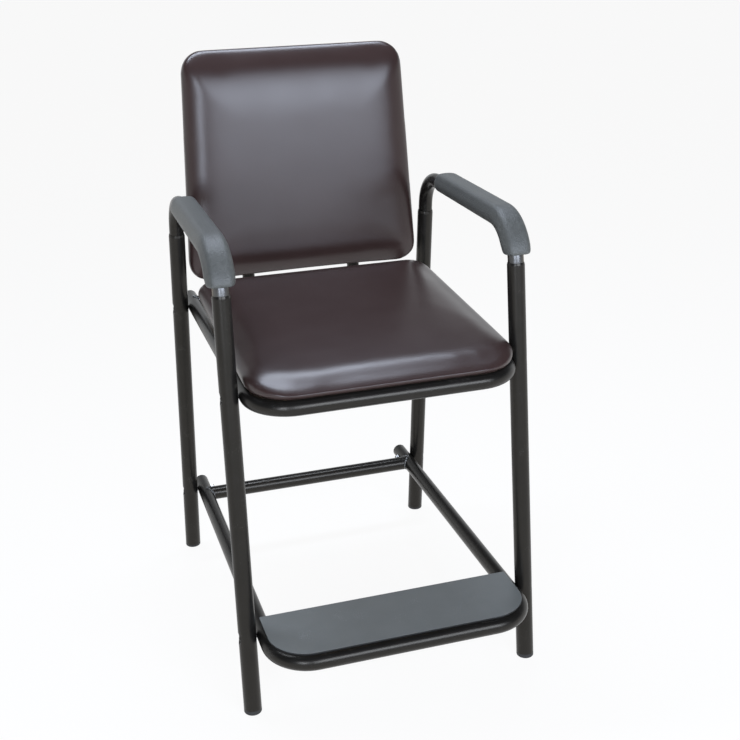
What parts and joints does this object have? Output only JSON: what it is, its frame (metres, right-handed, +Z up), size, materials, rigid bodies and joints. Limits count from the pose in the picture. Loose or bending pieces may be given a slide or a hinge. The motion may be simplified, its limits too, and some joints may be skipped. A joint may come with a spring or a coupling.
{
  "type": "hip chair",
  "caption": "Raised hip chair with a high, forward-sloping padded seat, a reclined padded back, padded arms, raked round-tube legs and a fixed footrest loop with a flat plate.",
  "frame": {"origin": "on the floor, under the middle of the chair's overall box", "axes": "+Z up; the sitter faces -Y, so the footrest is at the -Y end; +X runs from the chair's arm at -X to the one at +X, as seen from in front with -X on the left of the picture"},
  "size_m": [0.5784, 0.7476, 1.0875],
  "materials": {
    "frame_paint": "satin dark bronze paint on steel tube",
    "arm_pad": "matt grey moulded soft foam",
    "upholstery": "dark brown smooth vinyl with a soft sheen",
    "foot_plate": "flat matt grey coat",
    "glide": "matt dark",
    "plug": "smooth dark",
    "fastener": "plain zinc",
    "board": "bare plywood",
    "back_panel": "fine matt grain"
  },
  "bodies": {
    "root": {"arm_pad_left": "arm_pad", "arm_pad_right": "arm_pad", "arm_pad_screws": "fastener", "arm_tube_left": "frame_paint", "arm_tube_right": "frame_paint", "back_board": "board", "back_bolts": "fastener", "back_pad": "upholstery", "back_panel": "back_panel", "back_post_cap_left": "plug", "back_post_cap_right": "plug", "back_post_left": "frame_paint", "back_post_right": "frame_paint", "foot_loop": "frame_paint", "foot_plate": "foot_plate", "foot_rail_plug_left": "plug", "foot_rail_plug_right": "plug", "foot_rear_bar": "frame_paint", "glide_front_left": "glide", "glide_front_right": "glide", "glide_rear_left": "glide", "glide_rear_right": "glide", "leg_bolts": "fastener", "leg_front_left": "frame_paint", "leg_front_right": "frame_paint", "leg_nuts": "fastener", "leg_rear_left": "frame_paint", "leg_rear_right": "frame_paint", "seat_board": "board", "seat_loop": "frame_paint", "seat_pad": "upholstery", "seat_rail_plug_left": "plug", "seat_rail_plug_right": "plug", "seat_rear_bar": "frame_paint", "seat_screws": "fastener", "seat_spacers": "frame_paint", "seat_strap_front": "frame_paint", "seat_strap_rear": "frame_paint"}
  },
  "joints": []
}
